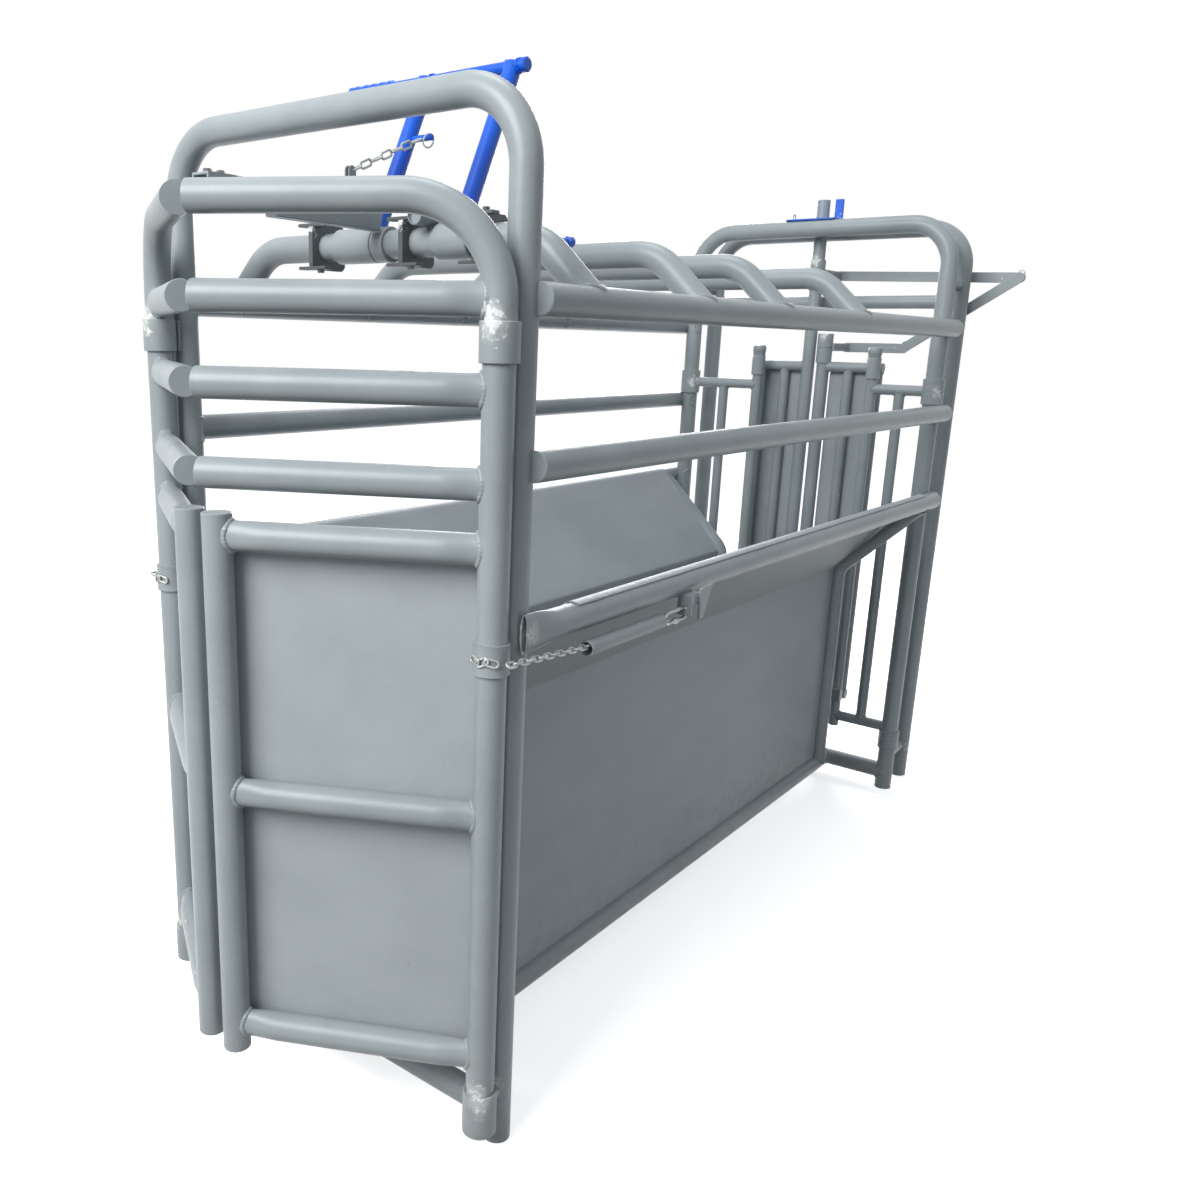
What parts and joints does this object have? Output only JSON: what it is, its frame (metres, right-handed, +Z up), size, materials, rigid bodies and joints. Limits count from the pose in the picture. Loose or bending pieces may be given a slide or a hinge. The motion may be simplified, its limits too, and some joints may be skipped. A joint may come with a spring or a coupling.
{
  "type": "roping chute",
  "caption": "Steel-pipe roping chute: sheeted alley with sprung front gates, trip lever and latch, and rear leaves that slide apart on a hand linkage.",
  "frame": {"origin": "centre of the bounding box on the ground", "axes": "+Z up, +Y from the front gates to the rear leaves, +X to the side that carries the rear linkage"},
  "size_m": [1.2526, 3.1204, 2.2415],
  "materials": {
    "grey_paint": "gloss enamel, chipped at welds and hinges",
    "sheet_paint": "satin enamel on sheet steel",
    "blue_paint": "gloss blue enamel",
    "zinc_steel": "zinc-plated steel, dull"
  },
  "bodies": {
    "frame": {"bow_1": "grey_paint", "bow_2": "grey_paint", "bow_3": "grey_paint", "bow_4": "grey_paint", "far_anchor": "grey_paint", "far_bottom_rail": "grey_paint", "far_clamp": "grey_paint", "far_end_tube": "grey_paint", "far_hinge_cup": "grey_paint", "far_hinge_strap": "grey_paint", "far_mid_rail": "grey_paint", "far_quick_link": "zinc_steel", "far_sheet_rail": "grey_paint", "far_side_sheet": "sheet_paint", "far_spring": "zinc_steel", "far_spring_tube": "grey_paint", "far_top_rail": "grey_paint", "far_wing": "grey_paint", "front_arch": "grey_paint", "front_cross_tube": "grey_paint", "gate_arch": "grey_paint", "mid_clamp": "grey_paint", "near_anchor": "grey_paint", "near_bottom_rail": "grey_paint", "near_clamp": "grey_paint", "near_end_tube": "grey_paint", "near_hinge_cup": "grey_paint", "near_hinge_strap": "grey_paint", "near_mid_rail": "grey_paint", "near_quick_link": "zinc_steel", "near_sheet_rail": "grey_paint", "near_side_sheet": "sheet_paint", "near_spring": "zinc_steel", "near_spring_tube": "grey_paint", "near_top_rail": "grey_paint", "near_wing": "grey_paint", "rear_arch": "grey_paint", "rear_cross_tube": "grey_paint"},
    "near_gate": {"near_gate": "grey_paint", "near_gate_sheet": "sheet_paint"},
    "far_gate": {"far_gate": "grey_paint", "far_gate_sheet": "sheet_paint"},
    "near_chain": {"near_chain": "zinc_steel"},
    "far_chain": {"far_chain": "zinc_steel"},
    "trip_lever": {"trip_lever": "blue_paint", "trip_grip": "blue_paint", "trip_chain": "zinc_steel"},
    "latch": {"latch_bar": "grey_paint"},
    "lock_bolt": {"lock_bolt": "blue_paint"},
    "far_leaf": {"far_leaf": "grey_paint", "far_leaf_sheet": "sheet_paint", "slide_plate": "blue_paint"},
    "near_leaf": {"near_leaf": "grey_paint", "near_leaf_sheet": "sheet_paint"},
    "near_roller": {"near_roller": "grey_paint"},
    "far_roller": {"far_roller": "grey_paint"},
    "rocker": {"rocker": "grey_paint"},
    "upper_link": {"upper_link": "grey_paint"},
    "lower_link": {"lower_link": "grey_paint"}
  },
  "joints": [
    {"name": "near_gate_hinge", "type": "hinge", "parent": "frame", "child": "near_gate", "pos_m": [0.44771, -1.26371, 1], "axis": [0, 0, 1], "range_deg": [0, 100]},
    {"name": "far_gate_hinge", "type": "hinge", "parent": "frame", "child": "far_gate", "pos_m": [-0.54629, -1.26371, 1], "axis": [0, 0, -1], "range_deg": [0, 100]},
    {"name": "near_chain_slide", "type": "slide", "parent": "frame", "child": "near_chain", "axis": [0.0159, 0.9978, -0.0648], "range_m": [0, 0.062]},
    {"name": "far_chain_slide", "type": "slide", "parent": "frame", "child": "far_chain", "axis": [-0.0159, 0.9978, -0.0648], "range_m": [0, 0.062]},
    {"name": "trip_lever_hinge", "type": "hinge", "parent": "frame", "child": "trip_lever", "pos_m": [-0.04929, -1.01571, 1.868], "axis": [-1, 0, 0], "range_deg": [0, 15]},
    {"name": "latch_hinge", "type": "hinge", "parent": "frame", "child": "latch", "pos_m": [-0.06129, -1.01571, 1.868], "axis": [-1, 0, 0], "range_deg": [0, 15]},
    {"name": "lock_bolt_slide", "type": "slide", "parent": "frame", "child": "lock_bolt", "axis": [0, 1, 0], "range_m": [0, 0.04]},
    {"name": "far_leaf_slide", "type": "slide", "parent": "frame", "child": "far_leaf", "axis": [-1, 0, 0], "range_m": [0, 0.163]},
    {"name": "near_leaf_slide", "type": "slide", "parent": "frame", "child": "near_leaf", "axis": [1, 0, 0], "range_m": [0, 0.163]},
    {"name": "near_roller_spin", "type": "hinge", "parent": "frame", "child": "near_roller", "pos_m": [0.21271, 1.29429, 1.6], "axis": [0, 0, 1], "continuous": true},
    {"name": "far_roller_spin", "type": "hinge", "parent": "frame", "child": "far_roller", "pos_m": [-0.23929, 1.29429, 1.6], "axis": [0, 0, 1], "continuous": true},
    {"name": "rocker_hinge", "type": "hinge", "parent": "frame", "child": "rocker", "pos_m": [0.42071, 1.53344, 1.8], "axis": [0, -1, 0], "range_deg": [0, 50.5]},
    {"name": "upper_link_hinge", "type": "hinge", "parent": "far_leaf", "child": "upper_link", "pos_m": [-0.04929, 1.54224, 1.945], "axis": [0, -1, 0], "range_deg": [0, 9]},
    {"name": "lower_link_hinge", "type": "hinge", "parent": "near_leaf", "child": "lower_link", "pos_m": [0.01071, 1.54224, 1.67395], "axis": [0, 1, 0], "range_deg": [0, 24.5]}
  ],
  "couplings": [
    {"joint": "near_chain_slide", "follows": "near_gate_hinge", "m_per_rad": 0.03515},
    {"joint": "far_chain_slide", "follows": "far_gate_hinge", "m_per_rad": 0.03515},
    {"joint": "latch_hinge", "follows": "trip_lever_hinge", "ratio": 1},
    {"joint": "near_leaf_slide", "follows": "far_leaf_slide", "ratio": 1},
    {"joint": "rocker_hinge", "follows": "far_leaf_slide", "rad_per_m": 5.354},
    {"joint": "upper_link_hinge", "follows": "far_leaf_slide", "rad_per_m": 0.921},
    {"joint": "lower_link_hinge", "follows": "far_leaf_slide", "rad_per_m": 2.559}
  ]
}
